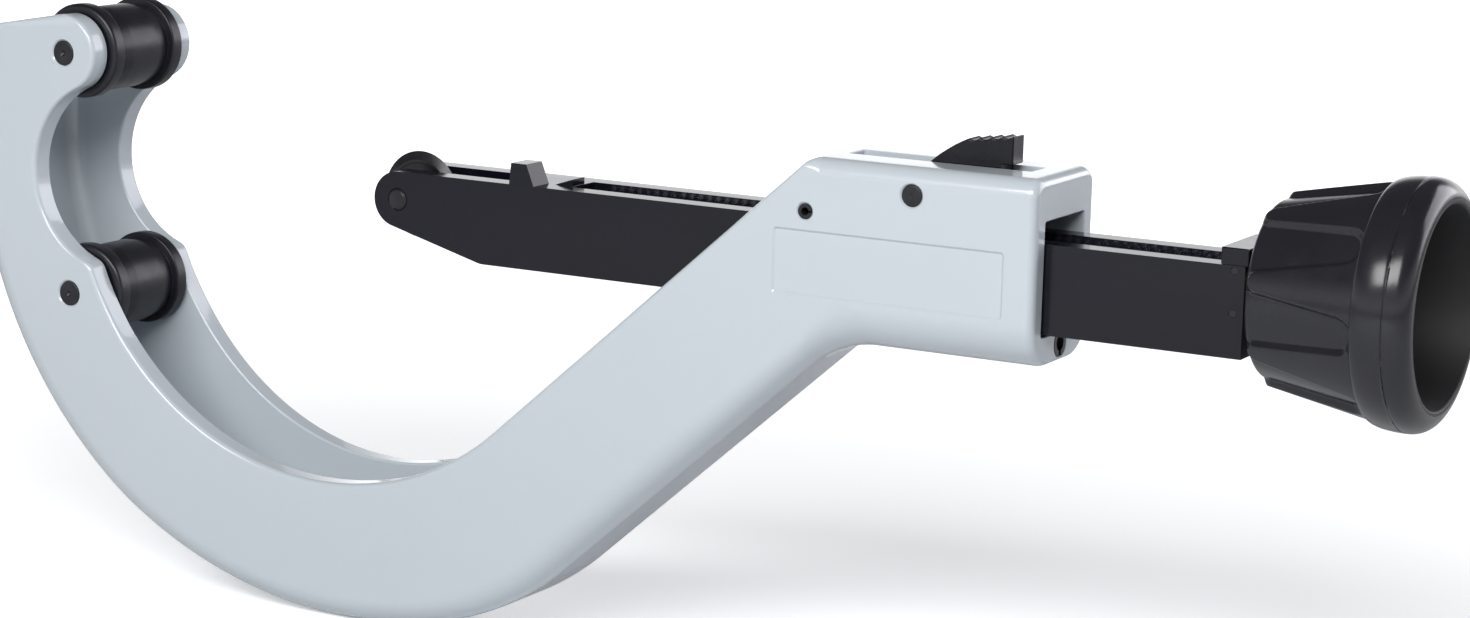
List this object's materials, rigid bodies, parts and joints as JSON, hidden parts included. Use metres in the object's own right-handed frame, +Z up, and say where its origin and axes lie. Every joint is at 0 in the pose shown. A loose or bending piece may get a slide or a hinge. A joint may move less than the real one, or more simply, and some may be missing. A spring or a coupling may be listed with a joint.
{
  "type": "pipe cutter",
  "caption": "Quick-acting copper pipe cutter: C frame with guide rollers, sliding cutting wheel, feed screw with a hand knob, and a thumb lever that frees the slide.",
  "frame": {"origin": "middle of the tool's length and width, at the lowest point of its bow", "axes": "+X along the slide, from the hook back to the knob; +Z up, from the bow to the thumb lever; +Y across the tool"},
  "size_m": [0.488, 0.069, 0.1864],
  "materials": {
    "frame_paint": "gloss paint on a light alloy casting",
    "slide_black": "satin",
    "roller_black": "satin",
    "knob_plastic": "satin gloss",
    "lever_black": "satin",
    "pin_steel": "blackened",
    "wheel_steel": "blackened, ground edge",
    "bright_steel": "bright",
    "bronze": "satin"
  },
  "bodies": {
    "frame_body": {"frame": "frame_paint", "upper_roller_pin": "pin_steel", "lower_roller_pin": "pin_steel", "lever_pivot_pin": "pin_steel", "guide_roll_pin": "pin_steel", "guide_tube": "pin_steel", "lever_spring": "bright_steel"},
    "upper_roller_body": {"upper_roller": "roller_black"},
    "lower_roller_body": {"lower_roller": "roller_black"},
    "slide_body": {"slide": "slide_black", "wheel_axle": "pin_steel", "wheel_washers": "bright_steel", "stop_block": "slide_black", "stop_block_screw": "pin_steel", "front_bush": "bronze", "end_block": "slide_black", "end_block_pins": "pin_steel", "thrust_washer": "bronze"},
    "wheel_body": {"cutter_wheel": "wheel_steel", "wheel_bush": "bronze"},
    "screw_body": {"feed_screw": "bright_steel", "screw_collar": "pin_steel", "knob": "knob_plastic", "knob_drive_pin": "bright_steel", "knob_washer": "bright_steel", "knob_nut": "bright_steel"},
    "lever_body": {"thumb_lever": "lever_black", "half_nut": "bronze", "half_nut_pin": "pin_steel"}
  },
  "joints": [
    {"name": "slide_feed", "type": "slide", "parent": "frame_body", "child": "slide_body", "axis": [1, 0, 0], "range_m": [-0.05, 0.084]},
    {"name": "knob_spin", "type": "hinge", "parent": "slide_body", "child": "screw_body", "pos_m": [0.13358, 0, 0.136], "axis": [1, 0, 0], "range_deg": [-6000, 10080]},
    {"name": "wheel_spin", "type": "hinge", "parent": "slide_body", "child": "wheel_body", "pos_m": [-0.08272, 0, 0.1347], "axis": [0, 1, 0], "continuous": true},
    {"name": "upper_roller_spin", "type": "hinge", "parent": "frame_body", "child": "upper_roller_body", "pos_m": [-0.20363, 0, 0.1714], "axis": [0, 1, 0], "continuous": true},
    {"name": "lower_roller_spin", "type": "hinge", "parent": "frame_body", "child": "lower_roller_body", "pos_m": [-0.20223, 0, 0.0938], "axis": [0, 1, 0], "continuous": true},
    {"name": "thumb_lever_press", "type": "hinge", "parent": "frame_body", "child": "lever_body", "pos_m": [0.09548, 0, 0.154], "axis": [0, 1, 0], "range_deg": [0, 8], "stiffness_Nm_per_rad": 0.4, "springref_deg": -20.05, "deforming": ["lever_spring"]}
  ],
  "couplings": [
    {"joint": "knob_spin", "follows": "slide_feed", "rad_per_m": 2094.4}
  ]
}
